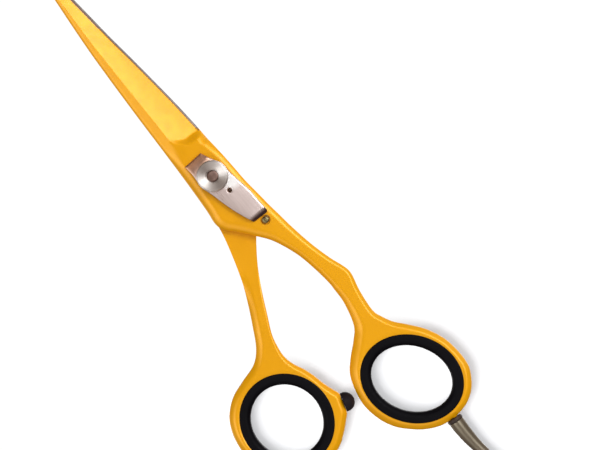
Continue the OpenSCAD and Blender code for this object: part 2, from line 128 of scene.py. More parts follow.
# Leaf spring, its pins' distances from the pivot along its tail
LEAF_TURN = math.radians(10.6)
LEAF_LIFT = 0.9                 # underside above the outer face
LEAF_THICK = 0.5
TAIL_SLANT = 0.21               # slant of the tail's bend across the leaf
DOWEL_AT = 5.8
DOWEL_HOLE = 0.6
LEAF_BORE = 1.58
TAIL_PIN_AT = 18
PIN_FLOOR = PARTING + 1.2

# Finger rest and rubber stop: where each leaves its ring, and which way
REST_TURN, STOP_TURN = math.radians(-5), math.radians(-17)
REST_DIR = np.array([math.sin(REST_TURN), -math.cos(REST_TURN), 0])
REST_AT = np.array([7.75, -89.7, PARTING])
STOP_DIR = np.array([math.cos(STOP_TURN), math.sin(STOP_TURN), 0])
STOP_AT = np.array([-12.05, -67.85, PARTING])


# ------------------------------------------------------------------ small maths
def ease(t):
    t = np.clip(t, 0, 1)
    return t * t * (3 - 2 * t)


def mix(start, end, t):
    return start + (end - start) * t


def smooth_rows(rows, steps):
    """Catmull-Rom curve through the rows, with so many steps between two of them."""
    rows = np.array(rows, float)
    count, out = len(rows), []
    for i in range(count - 1):
        before, here = rows[max(i - 1, 0)], rows[i]
        after, beyond = rows[i + 1], rows[min(i + 2, count - 1)]
        for j in range(steps):
            t = j / steps
            out.append(0.5 * (2 * here + (after - before) * t
                              + (2 * before - 5 * here + 4 * after - beyond) * t * t
                              + (3 * here - before - 3 * after + beyond) * t ** 3))
    out.append(rows[-1])
    return np.array(out)


def resample(line, step):
    """Even steps along an open polyline, ends kept."""
    run = np.r_[0, np.cumsum(np.linalg.norm(np.diff(line, axis=0), axis=1))]
    count = max(2, int(round(run[-1] / step)) + 1)
    even = np.linspace(0, run[-1], count)
    return np.c_[np.interp(even, run, line[:, 0]), np.interp(even, run, line[:, 1])]


def dist_to(points, line, closed=False):
    """Distance from points to a polyline."""
    start = line if closed else line[:-1]
    end = np.roll(line, -1, axis=0) if closed else line[1:]
    span = end - start
    square = (span ** 2).sum(1) + 1e-12
    out = np.empty(len(points))
    batch = 2000
    for i in range(0, len(points), batch):
        some = points[i:i + batch, None, :]
        t = np.clip(((some - start) * span).sum(2) / square, 0, 1)
        gap = some - start - t[..., None] * span
        out[i:i + batch] = np.sqrt((gap ** 2).sum(2).min(1))
    return out


def inside(points, loop):
    x, y = points[:, 0], points[:, 1]
    result = np.zeros(len(points), bool)
    for (x1, y1), (x2, y2) in zip(loop, np.roll(loop, -1, axis=0)):
        if y1 == y2:
            continue
        crosses = (y1 > y) != (y2 > y)
        result ^= crosses & (x < (x2 - x1) * (y - y1) / (y2 - y1) + x1)
    return result


def edge_drop(distance, width, depth, power):
    """Drop below the face at a distance from an edge: 0 beyond width, depth at the edge.

    Power 1 is a flat chamfer, 2 a round one.
    """
    u = np.clip(1 - distance / width, 0, 1)
    return depth * (1 - (1 - u ** power) ** (1 / power))


def turned(points, angle):
    """Points turned about Z."""
    cos, sin = math.cos(angle), math.sin(angle)
    points = np.array(points, float)
    out = points.copy()
    out[..., 0] = cos * points[..., 0] - sin * points[..., 1]
    out[..., 1] = sin * points[..., 0] + cos * points[..., 1]
    return out


def angles(count):
    return np.linspace(0, 2 * math.pi, count, endpoint=False)


def level(radius, z, count, flat=None):
    """Ring of points about Z, cut to two flats at y = +-flat if given."""
    x, y = radius * np.cos(angles(count)), radius * np.sin(angles(count))
    if flat:
        y = np.clip(y, -flat, flat)
    return np.c_[x, y, np.full(count, z)]


def circle(centre, radius, count=64):
    return level(radius, 0, count)[:, :2] + centre


def ellipse(hole, grow, count=160):
    """Outline of a finger hole, grown."""
    turn = angles(count)
    points = np.c_[(hole["long"] + grow) * np.cos(turn), (hole["short"] + grow) * np.sin(turn)]
    return turned(points, math.radians(hole["turn"])) + np.array(hole["centre"])


def on_leaf(distance):
    """Point on the leaf's centre line, towards its tail."""
    return turned(np.array([0, -distance]), LEAF_TURN)


def rounded(profile, steps):
    """Rounds the corners of an open profile of (r, z, rounding) rows. The ends stay sharp."""
    table = np.array(profile, float)
    points = table[:, :2]
    out = [tuple(points[0])]
    for i in range(1, len(points) - 1):
        corner = points[i]
        back, ahead = points[i - 1] - corner, points[i + 1] - corner
        back_run, ahead_run = np.linalg.norm(back), np.linalg.norm(ahead)
        reach = min(table[i, 2], 0.48 * back_run, 0.48 * ahead_run)
        back, ahead = back / back_run * reach, ahead / ahead_run * reach
        for j in range(steps + 1):
            t = j / steps
            out.append(tuple(corner + back * (1 - t) ** 2 + ahead * t ** 2))
    out.append(tuple(points[-1]))
    return out


def chamfered_ring(inner, outer, z0, z1, chamfer):
    """Closed profile of a ring with four chamfered edges."""
    c = chamfer
    return [(inner, z0 + c), (inner + c, z0), (outer - c, z0), (outer, z0 + c),
            (outer, z1 - c), (outer - c, z1), (inner + c, z1), (inner, z1 - c)]


# ------------------------------------------------------------------ mesh helpers
def link(obj):
    bpy.context.scene.collection.objects.link(obj)
    return obj


def shade_smooth(mesh, sharp):
    """Smooth shading, except at edges sharper than the angle in degrees."""
    mesh.polygons.foreach_set("use_smooth", [True] * len(mesh.polygons))
    mesh.set_sharp_from_angle(angle=math.radians(sharp))


def new_mesh(name, vertices, faces, sharp=None):
    mesh = bpy.data.meshes.new(name)
    mesh.from_pydata((np.asarray(vertices, float) * MM).tolist(), [], faces)
    mesh.validate()
    mesh.update()
    if sharp:
        shade_smooth(mesh, sharp)
    return link(bpy.data.objects.new(name, mesh))


def solid(name, vertices, faces, sharp=None):
    """Mesh object with its normals turned outward."""
    obj = new_mesh(name, vertices, faces, sharp)
    bm = bmesh.new()
    bm.from_mesh(obj.data)
    bmesh.ops.recalc_face_normals(bm, faces=bm.faces)
    bm.to_mesh(obj.data)
    bm.free()
    obj.data.update()
    return obj


def place(obj, body, material, slot, node):
    obj.data.materials.clear()
    obj.data.materials.append(material)
    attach(obj, body)
    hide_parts(node)


def ring_faces(first, second):
    """Faces between two rings of indices. Either may be a single pole."""
    count = max(len(first), len(second))
    faces = []
    for i in range(count):
        j = (i + 1) % count
        if len(first) == 1:
            faces.append((first[0], second[i], second[j]))
        elif len(second) == 1:
            faces.append((first[i], second[0], first[j]))
        else:
            faces.append((first[i], second[i], second[j], first[j]))
    return faces


def tube_faces(rings, count):
    """Quads between successive rings of count vertices each."""
    return [(i * count + j, i * count + (j + 1) % count,
             (i + 1) * count + (j + 1) % count, (i + 1) * count + j)
            for i in range(rings - 1) for j in range(count)]


def revolve(profile, count=96):
    """Body of revolution about Z from (r, z) points: from pole to pole, or a closed ring."""
    vertices, rings, base = [], [], 0
    for radius, z in profile:
        row = level(radius, z, count) if radius > 1e-9 else np.array([[0, 0, z]])
        vertices.append(row)
        rings.append(list(range(base, base + len(row))))
        base += len(row)
    pairs = list(zip(rings[:-1], rings[1:]))
    if len(rings[0]) > 1:
        pairs.append((rings[-1], rings[0]))
    return np.vstack(vertices), [face for pair in pairs for face in ring_faces(*pair)]


def along_axis(vertices, at, direction):
    """Puts a body made about +Z onto a level axis in the row frame."""
    axis = direction / np.linalg.norm(direction)
    across = np.cross((0.0, 0.0, 1.0), axis)
    across /= np.linalg.norm(across)
    third = np.cross(axis, across)
    x, y, z = vertices[:, :1], vertices[:, 1:2], vertices[:, 2:3]
    return x * across + y * third + z * axis + at


def prism(loop, z0, z1):
    count = len(loop)
    vertices = [(x, y, z) for z in (z0, z1) for x, y in loop]
    caps = [tuple(range(count))[::-1], tuple(range(count, 2 * count))]
    return np.array(vertices, float), caps + tube_faces(2, count)


def cylinder(origin, direction, radius, z0, z1, count=40):
    """Cylinder about a direction, between two distances from the origin."""
    vertices, faces = revolve([(0, z0), (radius, z0), (radius, z1), (0, z1)], count)
    turn = Vector(direction).normalized().to_track_quat("Z", "Y").to_matrix()
    return vertices @ np.array(turn).T + np.array(origin), faces


def cut(obj, cutters):
    """Takes closed cutters out of a piece, one after another, and leaves a plain mesh."""
    for vertices, faces in cutters:
        cutter = solid("cutter", vertices, faces)
        boolean = obj.modifiers.new("cut", "BOOLEAN")
        boolean.operation, boolean.solver, boolean.object = "DIFFERENCE", "EXACT", cutter
        graph = bpy.context.evaluated_depsgraph_get()
        mesh = bpy.data.meshes.new_from_object(
            obj.evaluated_get(graph), preserve_all_data_layers=True, depsgraph=graph)
        old_mesh, cutter_mesh = obj.data, cutter.data
        obj.modifiers.clear()
        obj.data = mesh
        bpy.data.meshes.remove(old_mesh)
        bpy.data.objects.remove(cutter)
        bpy.data.meshes.remove(cutter_mesh)
    shade_smooth(obj.data, sharp=34)
    return obj


class Pattern:
    """Points and fixed edges within a counter-clockwise outline, to be triangulated."""

    def __init__(self, loop):
        self.loop, self.points, self.edges, self.count = loop, [], [], 0
        self.chain(loop, closed=True)

    def add(self, points):
        base = self.count
        self.points.append(points)
        self.count += len(points)
        return base

    def chain(self, points, closed=False):
        base, count = self.add(points), len(points)
        for i in range(count if closed else count - 1):
            self.edges.append((base + i, base + (i + 1) % count))

    def insets(self, depths, crest=None, shortest=0):
        """Rings of points beside the outline, where the section curves most."""
        loop, count = self.loop, len(self.loop)
        tangent = np.roll(loop, -1, axis=0) - np.roll(loop, 1, axis=0)
        tangent /= np.linalg.norm(tangent, axis=1)[:, None]
        inward = np.c_[-tangent[:, 1], tangent[:, 0]]
        for depth in depths:
            ring = loop + inward * depth
            keep = inside(ring, loop) & (dist_to(ring, loop, True) > depth * 0.97)
            if crest is not None:
                keep &= dist_to(ring, crest) > 0.2
            base = self.add(ring[keep])
            index = np.full(count, -1)
            index[keep] = base + np.arange(keep.sum())
            for i in range(count):
                j = (i + 1) % count
                if keep[i] and keep[j] and np.linalg.norm(ring[i] - ring[j]) >= shortest:
                    self.edges.append((int(index[i]), int(index[j])))

    def triangulate(self, voids=()):
        """Triangles inside the outline and outside the voids, given as (centre, radius)."""
        vertices, _, faces, *_ = delaunay_2d_cdt(
            [Vector(p) for p in np.vstack(self.points)], self.edges, [], 0, 1e-5, False)
        points = np.array([(v.x, v.y) for v in vertices])
        triangles = np.array([tuple(f) for f in faces])
        middles = points[triangles].mean(1)
        keep = inside(middles, self.loop)
        for centre, radius in voids:
            keep &= np.linalg.norm(middles - centre, axis=1) >= radius
        triangles = triangles[keep]
        used = np.unique(triangles)
        index = np.full(len(points), -1)
        index[used] = np.arange(len(used))
        return points[used], [tuple(int(i) for i in f) for f in index[triangles]]


def skins(points, triangles):
    """Faces of an upper and a lower skin over the same points, and the edges of their rim."""
    edges = dict.fromkeys(e for f in triangles for e in zip(f, f[1:] + f[:1]))
    rim = [(a, b) for a, b in edges if (b, a) not in edges]
    corner, second, third = points[list(triangles[0])]
    u, v = second - corner, third - corner
    if u[0] * v[1] - u[1] * v[0] <= 0:
        triangles = [f[::-1] for f in triangles]
    count = len(points)
    return triangles + [tuple(count + i for i in f[::-1]) for f in triangles], rim


# ------------------------------------------------------------------ the two halves
def seat_distance(points, hole):
    """Distance outward from the edge of the insert's seat."""
    local = turned(points - np.array(hole["centre"]), -math.radians(hole["turn"]))
    x, y = local[:, 0], local[:, 1]
    ratio = np.hypot(x / (hole["long"] + WALL + LIP), y / (hole["short"] + WALL + LIP))
    return (ratio - 1) * np.hypot(x, y) / np.maximum(ratio, 1e-6)


def outer_edge_drop(half, radius, y, to_spine, to_cut):
    """Drop of the outer face at the edges of the pivot area and the shank."""
    at = np.where(y > 0, 10, np.maximum(radius, 10))
    spine_width, spine_depth = (np.interp(at, EDGE_STATIONS, c) for c in half["outer_spine"])
    cut_width, cut_depth = (np.interp(at, EDGE_STATIONS, c) for c in half["outer_cut"])
    toward_blade = ease((y - 2) / 9)
    cut_width = cut_width + 0.7 * toward_blade
    cut_depth = cut_depth + 0.9 * toward_blade
    spine_power = np.where(y > 0, 1.5, np.interp(
        radius, [10, 16, 24, 34, 50, 60], [1.5, 1.8, 1.7, 1.5, 1.4, 1.3]))
    cut_power = np.where(y > 0, 1.45, np.interp(radius, [16, 26, 34], [1.45, 1.42, 1.4]))
    return (edge_drop(to_spine, spine_width, spine_depth, spine_power)
            + edge_drop(to_cut, cut_width, cut_depth, cut_power))


def inner_edge_drop(columns, radius, distance):
    width, depth, power = (
        np.interp(radius, INNER_STATIONS, np.broadcast_to(c, len(INNER_STATIONS)))
        for c in columns)
    return edge_drop(distance, width, depth, power)


def half_surface(points, spine, cutting, half):
    """Heights of the outer (+Z) and inner face over the points, and the outer bare-steel mask."""
    x, y = points[:, 0], points[:, 1]
    radius = np.hypot(x, y)
    to_spine, to_cut = dist_to(points, spine), dist_to(points, cutting)
    width = to_spine + to_cut
    toward_tip = np.clip((y - HEEL) / BLADE_RUN, 0, 1)
    seat_rim = (y < -30) * edge_drop(
        np.maximum(seat_distance(points, half["hole"]), 0), width=0.35, depth=0.12, power=1.6)

    # plain faces: half-lap at the pivot, full thickness on the shank, falling to the ridge
    thickening = np.where(y > 0, 0, ease((radius - LAP_RADIUS) / LAP_RUN))
    inner = mix(GAP, -RING, thickening)
    top = mix(FACE, RING, thickening)
    ridge = GAP + mix(2.3, 1.1, (y - HEEL) / (TIP - HEEL))
    top = np.where(y > 0, mix(top, ridge, ease((y - 1) / 15)), top)
    outer = top - outer_edge_drop(half, radius, y, to_spine, to_cut)

    # blade: spine band, ridge, ground facet, cutting edge
    crest = CREST * width
    q = np.clip((to_spine - crest) / np.maximum(width - crest, 1e-3), 0, 1)
    edge = GAP + mix(0.8, 0.4, toward_tip)
    spine_band = ridge - 0.25 * np.maximum(crest - to_spine, 0) - edge_drop(
        to_spine, width=np.minimum(0.85, crest), depth=np.minimum(0.42, 0.3 * (ridge - GAP)),
        power=1.7)
    facet = mix(ridge, edge, q) - 0.07 * 4 * q * (1 - q) * np.clip(width / 9, 0, 1)

    # the facet starts at a curve across the heel, the spine band runs further back
    toward_cut = x if half["cuts_right"] else -x
    heel_curve = (11.2 + 0.35 * np.maximum(1.2 - toward_cut, 0) ** 1.6
                  - 0.05 * np.maximum(toward_cut - 1.2, 0))
    ground = ease((y - heel_curve + 1.1) / 2.2)
    fade = mix(0.20, 0.05, ease((y - 11) / 12))
    band = ease((0.27 + fade - to_spine / np.maximum(width, 1e-3)) / fade)
    behind = np.where(y > 0, mix(outer, spine_band, ease((y - 6) / 9)), outer)
    outer = (mix(outer, facet, ground) * (1 - band)
             + band * mix(behind, np.minimum(spine_band, facet), ground))

    # bevel of the cutting edge, with its bare steel
    slope = np.where(y > HEEL, 0.5 / mix(0.3, 0.5, toward_tip), 1)
    bevel = GAP + 0.12 + 1.35 * to_cut * slope
    onset = np.clip(y - (HEEL - 1.5), 0, 1)
    outer = np.where(onset > 0, np.minimum(outer, mix(9.0, 0, onset) + bevel), outer)
    bare = 0.6 * ((to_cut < mix(0.24, 0.50, toward_tip)) & (y > HEEL - 1.0)).astype(float)
    outer = outer - seat_rim

    # inner face: rounded edges behind the half-lap, a slight hollow along the blade
    lower = ease((radius - 26) / 12) * (y < 0)
    inner = inner + lower * (inner_edge_drop(half["inner_spine"], radius, to_spine)
                             + inner_edge_drop(half["inner_cut"], radius, to_cut) + seat_rim)
    hollow = ease(np.clip((np.minimum(to_spine, to_cut) - 0.9) / 1.5, 0, 1))
    inner = inner + 0.05 * hollow * ease((y - 9) / 6) * np.clip(width / 6, 0, 1)
    return outer, np.minimum(inner, outer - 0.1), bare


def bend_notch(chain, centre, radius):
    """Bends the chain into a round notch, open to the right."""
    offset = chain - np.array(centre)
    near = np.linalg.norm(offset, axis=1) < radius
    y = offset[near][:, 1]
    y = np.clip(np.linspace(y.max(), y.min(), near.sum()) / radius, -1, 1)
    chain[near] = np.c_[centre[0] - radius * np.sqrt(1 - y ** 2), centre[1] + radius * y]


def half_pattern(loop, spine, cutting):
    pattern = Pattern(loop)
    # the blade's ridge, as close lines of points so that it shades crisp
    start = spine[(spine[:, 1] > HEEL + 1.5) & (spine[:, 1] < 73.5)]
    end = np.array([cutting[np.argmin(((cutting - p) ** 2).sum(1))] for p in start])
    across = (end - start) / np.linalg.norm(end - start, axis=1)[:, None]
    crest = start + CREST * (end - start)
    for offset in (-0.07, 0.0, 0.07):
        pattern.chain(crest + across * offset)
    depths = (0.04, 0.12, 0.24, 0.40, 0.60, 0.80, 1.0, 1.2, 1.45, 1.75, 2.05, 2.35)
    pattern.insets(depths, crest, shortest=0.05)
    # a fine grid on the blade and the pivot, a coarser one on the shank and ring
    low, high = loop.min(0), loop.max(0)
    for step, y0, y1 in ((0.33, -14, 76), (0.55, -92, -14)):
        x, y = np.meshgrid(np.arange(low[0], high[0], step), np.arange(y0, y1, step))
        x = x + (np.arange(len(x)) % 2)[:, None] * step / 2
        grid = np.c_[x.ravel(), y.ravel()] + 1e-4
        grid = grid[(grid[:, 1] >= low[1]) & (grid[:, 1] <= high[1])]
        grid = grid[inside(grid, loop)]
        clear = dist_to(grid, loop, True) > depths[-1] + 0.7 * step
        pattern.add(grid[clear & (dist_to(grid, crest) > 0.22)])
    return pattern


def half_body(name, half):
    rows = smooth_rows(half["rows"], steps=12)
    left, right = resample(rows[:, :2], step=0.34), resample(rows[:, 2:], step=0.34)
    if half["notch"]:
        bend_notch(right, **half["notch"])
    quarters = (0.25, 0.5, 0.75)
    tip = np.array([[mix(right[0, 0], left[0, 0], k), left[0, 1] + 0.12 * math.sin(math.pi * k)]
                    for k in quarters])
    end = np.array([mix(left[-1], right[-1], k) for k in quarters])
    loop = np.vstack([left, end, right[::-1], tip])     # down the left, up the right
    spine, cutting = (left, right) if half["cuts_right"] else (right, left)

    points, triangles = half_pattern(loop, spine, cutting).triangulate()
    outer, inner, bare = half_surface(points, spine, cutting, half)
    faces, rim = skins(points, triangles)
    following = dict(rim)
    order = [rim[0][0]]
    while following[order[-1]] != order[0]:
        order.append(following[order[-1]])

    # side wall in tiers between the two faces
    tiers, count, length = 4, len(points), len(order)
    vertices = [np.c_[points, outer], np.c_[points, inner]]
    rings = [order]
    for k in range(1, tiers):
        vertices.append(np.c_[points[order], mix(outer[order], inner[order], k / tiers)])
        base = 2 * count + (k - 1) * length
        rings.append(list(range(base, base + length)))
    rings.append([count + i for i in order])
    for upper, lower in zip(rings[:-1], rings[1:]):
        faces += ring_faces(upper, lower)
    vertices = np.vstack(vertices)
    if not half["cuts_right"]:                          # the thumb half faces down
        vertices = vertices * np.array([1, 1, -1])
        faces = [f[::-1] for f in faces]
    vertices[:, 2] += PARTING
    obj = new_mesh(name, vertices, faces)

    # bare steel: outer bevel, inner face of the lapped area, wall of the cutting edge
    y = points[:, 1]
    lapped = ease((y + 9.5) / 0.5) * np.where(y > HEEL, 1, dist_to(points, loop, True) > 0.4)
    wall = (y[order] > HEEL - 1.0) & (dist_to(points[order], cutting) < 0.05)
    mask = np.concatenate([bare, lapped, np.tile(wall, tiers - 1)])
    attribute = obj.data.attributes.new("bare", "FLOAT", "POINT")
    attribute.data.foreach_set("value", mask.astype(np.float32))
    return obj


BELOW, ABOVE = -5, 12           # cutter ends clear of both halves
UNDER_PIVOT = -1                # clear of the finger half at the pivot


def insert_seat(hole):
    """Cutters for the finger hole and the insert's seats on both faces."""
    return [prism(ellipse(hole, WALL), BELOW, ABOVE),
            prism(ellipse(hole, WALL + LIP), PARTING + RING - SEAT, ABOVE),
            prism(ellipse(hole, WALL + LIP), BELOW, PARTING - RING + SEAT)]


def finger_half():
    key = level(BOLT_RADIUS + KEY_CLEARANCE, 0, 64, flat=BOLT_FLAT + KEY_CLEARANCE)[:, :2]
    tail = on_leaf(TAIL_PIN_AT)
    washer_seat = circle((0, 0), WASHER_SEAT_RADIUS, 72)
    return cut(half_body("finger_half_body", FINGER), insert_seat(FINGER_HOLE) + [
        prism(key, UNDER_PIVOT, ABOVE),
        prism(washer_seat, UNDER_PIVOT, PARTING + WASHER_SEAT_DEPTH),
        prism(circle(on_leaf(DOWEL_AT), 0.5, 32), PIN_FLOOR, ABOVE),
        prism(circle(tail, 0.96, 40), PIN_FLOOR, ABOVE),
        prism(circle(tail, 1.32, 40), OUTER - 0.7, ABOVE),
        cylinder(REST_AT, REST_DIR, radius=1.23, z0=-2.5, z1=3),
    ])


def thumb_half():
    washer_seat = circle((0, 0), WASHER_SEAT_RADIUS, 72)
    return cut(half_body("thumb_half_body", THUMB), insert_seat(THUMB_HOLE) + [
        prism(circle((0, 0), BUSH_BORE), BELOW, ABOVE),
        prism(circle((0, 0), HEAD_SEAT_RADIUS), BELOW, HEAD_SEAT_TOP),
        prism(washer_seat, PARTING - WASHER_SEAT_DEPTH, ABOVE),
        cylinder(STOP_AT, STOP_DIR, radius=0.81, z0=-2.7, z1=3),
        cylinder(STOP_AT, STOP_DIR, radius=2.72, z0=0.0, z1=3, count=96),
    ])


# ------------------------------------------------------------------ node trees
def srgb(*color):
    """Linear RGBA from 0-255 sRGB."""
    def linear(c):
        c /= 255
        return c / 12.92 if c <= 0.04045 else ((c + 0.055) / 1.055) ** 2.4
    return (*map(linear, color), 1)


MIX_SOCKETS = {"FLOAT": (2, 0), "VECTOR": (4, 1), "RGBA": (6, 2)}      # first input, output


class Tree:
    """A node tree. Wherever a value is asked for, a socket to link from may be given."""

    def __init__(self, tree):
        self.tree = tree
        tree.nodes.clear()

    def put(self, socket, value):
        if isinstance(value, bpy.types.NodeSocket):
            self.tree.links.new(value, socket)
        else:
            socket.default_value = value

    def node(self, kind, inputs=None, **settings):
        node = self.tree.nodes.new(kind)
        for key, value in settings.items():
            setattr(node, key, value)
        for key, value in (inputs or {}).items():
            self.put(node.inputs[key], value)
        return node

    def math(self, operation, a, b):
        return self.node("ShaderNodeMath", {0: a, 1: b}, operation=operation).outputs[0]

    def measure(self, operation, *vectors):
        """Vector maths with a number as result."""
        inputs = dict(enumerate(vectors))
        return self.node("ShaderNodeVectorMath", inputs, operation=operation).outputs["Value"]

    def mix(self, factor, a, b, kind="RGBA"):
        first, result = MIX_SOCKETS[kind]
        inputs = {0: factor, first: a, first + 1: b}
        return self.node("ShaderNodeMix", inputs, data_type=kind).outputs[result]

    def ramp(self, value, span=(0.3, 0.7), to=(0.0, 1.0), **settings):
        """Maps the span of the value onto another range."""
        return self.node("ShaderNodeMapRange", {
            "From Min": span[0], "From Max": span[1], "To Min": to[0], "To Max": to[1],
            "Value": value}, **settings).outputs[0]


class Material(Tree):
    def __init__(self, name):
        self.material = bpy.data.materials.new(name)
        self.material.use_nodes = True
        super().__init__(self.material.node_tree)
        self.bsdf = self.node("ShaderNodeBsdfPrincipled")
        self.output = self.node("ShaderNodeOutputMaterial", {0: self.bsdf.outputs[0]})
        self.place = self.node("ShaderNodeTexCoord").outputs["Object"]

    def shade(self, **values):
        """Sets inputs of the Principled shader."""
        for key, value in values.items():
            self.put(self.bsdf.inputs[key.replace("_", " ")], value)

    def noise(self, scale, detail=4, rough=0.5, stretch=None, turn=(0, 0, 0)):
        place = self.place
        if stretch:
            place = self.node("ShaderNodeMapping", {
                "Scale": stretch, "Rotation": turn, 0: place}).outputs[0]
        return self.node("ShaderNodeTexNoise", {
            "Scale": scale, "Detail": detail, "Roughness": rough,
            "Vector": place}).outputs["Fac"]

    def bump(self, height, strength, distance):
        return self.node("ShaderNodeBump", {
            "Strength": strength, "Distance": distance, "Height": height}).outputs[0]


# ------------------------------------------------------------------ materials
def turning_rings(m):
    """Fine noise in rings about the piece's own axis."""
    x, y, _ = m.node("ShaderNodeSeparateXYZ", {0: m.place}).outputs
    radial = m.node("ShaderNodeCombineXYZ", {0: x, 1: y}).outputs[0]
    radius = m.measure("LENGTH", radial)
    line = m.node("ShaderNodeCombineXYZ", {0: radius}).outputs[0]
    return m.node("ShaderNodeTexNoise", {
        "Scale": 9000, "Detail": 3, "Vector": line}).outputs["Fac"]


def leaf_tints(m, color):
    """The leaf's colour with its painted reflection, painted shade and painted highlight, and the
    mask of the painted highlight.
    """
    x, y, _ = m.node("ShaderNodeSeparateXYZ", {0: m.place}).outputs
    # painted warm reflection, growing towards +Y over the bent-down head flap
    color = m.mix(m.ramp(y, span=(0.0020, 0.0056)), color, srgb(244, 188, 151))
    # painted shade: darker and lilac at the bent end of the tail
    cos, sin = math.cos(LEAF_TURN), math.sin(LEAF_TURN)
    tailward = (sin - TAIL_SLANT * cos, -cos - TAIL_SLANT * sin, 0)
    tail = m.measure("DOT_PRODUCT", m.place, tailward)
    color = m.mix(m.ramp(tail, span=(0.0155, 0.0160)), color, srgb(122, 100, 108))
    # painted highlight: whitened, and made rougher, beside the dial towards the tail
    flat = m.node("ShaderNodeCombineXYZ", {0: x, 1: y}).outputs[0]
    painted_highlight = m.ramp(m.measure("DISTANCE", flat, (0.0029, -0.0036, 0)), span=(0.0032, 0.0014))
    return m.mix(painted_highlight, color, (1, 1, 1, 1)), painted_highlight


def steel(name, color, rough, grain=None, dark=0.82, aniso=None, leaf=False):
    """Metal with a grain: noise settings, or turning rings if none. aniso: amount and turn."""
    m = Material(name)
    m.shade(Metallic=1.0, Roughness=rough)
    fine = m.noise(detail=5, rough=0.6, **grain) if grain else turning_rings(m)
    clouds = m.noise(scale=180, detail=3)
    light = srgb(*color)
    shadow = tuple(c * dark for c in light[:3]) + (1,)
    tone = m.mix(m.ramp(fine), shadow, light)
    roughness = m.math("ADD", m.ramp(fine, to=(rough * 0.75, rough * 1.25)),
                       m.ramp(clouds, span=(0.35, 0.65), to=(-0.03, 0.04)))
    if leaf:
        # the leaf gets a painted reflection, painted shade and a painted highlight patch, which is
        # also rougher
        tone, painted_highlight = leaf_tints(m, tone)
        roughness = m.mix(painted_highlight, roughness, 0.62, kind="FLOAT")
    m.shade(Base_Color=tone, Roughness=roughness,
            Normal=m.bump(fine, strength=0.12, distance=0.00003))
    if aniso:
        tangent = m.node("ShaderNodeTangent", direction_type="RADIAL", axis="Z").outputs[0]
        m.shade(Anisotropic=aniso[0], Anisotropic_Rotation=aniso[1], Tangent=tangent)
    return m.material


def enamel():
    """Yellow lacquer, with ground steel where the "bare" attribute asks for it."""
    m = Material("yellow_enamel")
    # lacquer: slight thickness variation and a fine orange peel
    thickness = m.noise(scale=55, rough=0.55)
    mottle = m.noise(scale=420, detail=3)
    lacquer = m.mix(m.ramp(thickness), (0.955, 0.424, 0.0, 1), (0.985, 0.444, 0.0, 1))
    lacquer = m.mix(m.ramp(mottle, span=(0.35, 0.75), to=(0.0, 0.3)), lacquer,
                    (0.93, 0.404, 0.0, 1))
    peel = m.noise(scale=1500, detail=2, rough=0.4)
    # ground steel, brushed across the blade
    brush = m.noise(scale=900, detail=5, rough=0.65, stretch=(0.06, 1.0, 1.0))
    fine = m.noise(scale=3200, detail=3, rough=0.6, stretch=(0.05, 1.0, 1.0))
    ground = m.mix(m.ramp(brush), srgb(150, 146, 143), srgb(198, 195, 192))
    mask = m.node("ShaderNodeAttribute", attribute_name="bare").outputs["Fac"]
    bare = m.ramp(mask, span=(0.28, 0.42))
    # painted shade: the outer bevel of the cutting edge gets a darker, browner steel than the ground
    # inner face
    ground = m.mix(m.ramp(mask, span=(0.7, 0.9)), srgb(186, 158, 142), ground)
    # the inner face is less metallic, so it keeps its grey from low angles too
    metallic = m.math("MULTIPLY", m.ramp(bare, span=(0, 1), to=(0.34, 1.0)),
                      m.ramp(mask, span=(0.7, 0.9), to=(1.0, 0.6)))
    roughness = m.mix(bare, m.ramp(mottle, to=(0.30, 0.40)), m.ramp(fine, to=(0.22, 0.34)),
                      kind="FLOAT")
    normal = m.mix(bare, m.bump(peel, strength=0.03, distance=0.00004),
                   m.bump(fine, strength=0.10, distance=0.00003), kind="VECTOR")
    m.shade(Base_Color=m.mix(bare, lacquer, ground), Metallic=metallic, Roughness=roughness,
            Normal=normal, Specular_IOR_Level=0.1, Coat_Roughness=0.14, Coat_IOR=1.7,
            Coat_Weight=m.ramp(bare, span=(0, 1), to=(0.47, 0.0)))
    return m.material


def rubber(name, dark, light):
    m = Material(name)
    grain = m.noise(scale=700, detail=5, rough=0.6)
    clouds = m.noise(scale=120, detail=3)
    color = m.mix(m.ramp(clouds), srgb(*dark), srgb(*light))
    color = m.mix(m.ramp(grain, span=(0.45, 0.8), to=(0, 0.4)), color, srgb(12, 11, 14))
    m.shade(Base_Color=color, Roughness=m.ramp(grain, to=(0.42, 0.6)), Specular_IOR_Level=0.12,
            Normal=m.bump(grain, strength=0.25, distance=0.00005))
    return m.material


def plastic(name, dark, light, rough):
    m = Material(name)
    grain = m.noise(scale=900, rough=0.6)
    m.shade(Base_Color=m.mix(m.ramp(grain), srgb(*dark), srgb(*light)),
            Roughness=m.ramp(grain, to=(rough * 0.85, rough * 1.15)),
            Normal=m.bump(grain, strength=0.2, distance=0.00004))
    return m.material


EVEN_GRAIN = dict(scale=1800, stretch=(1, 1, 1))
LEAF_GRAIN = dict(scale=2600, stretch=(1, 0.05, 1), turn=(0, 0, -LEAF_TURN))
REST_GRAIN = dict(scale=1500, stretch=(1, 0.06, 1))

ENAMEL = enamel()
INSERT_RUBBER = rubber("insert_rubber", dark=(4, 4, 8), light=(9, 8, 14))
STOP_RUBBER = rubber("stop_rubber", dark=(22, 17, 20), light=(40, 34, 38))
LEAF_STEEL = steel("leaf_satin_steel", (216, 201, 197), rough=0.36, grain=LEAF_GRAIN, dark=0.9,
                   leaf=True)
DIAL_STEEL = steel("dial_turned_steel", (246, 240, 235), rough=0.44, aniso=(1.0, 0.25))
# painted shade: the bolt's steel is darkened to stand for the shade in the dial's recess
BOLT_STEEL_SHADED = steel("bolt_steel_painted_shade", (134, 110, 101), rough=0.36, aniso=(0.4, 0.0))
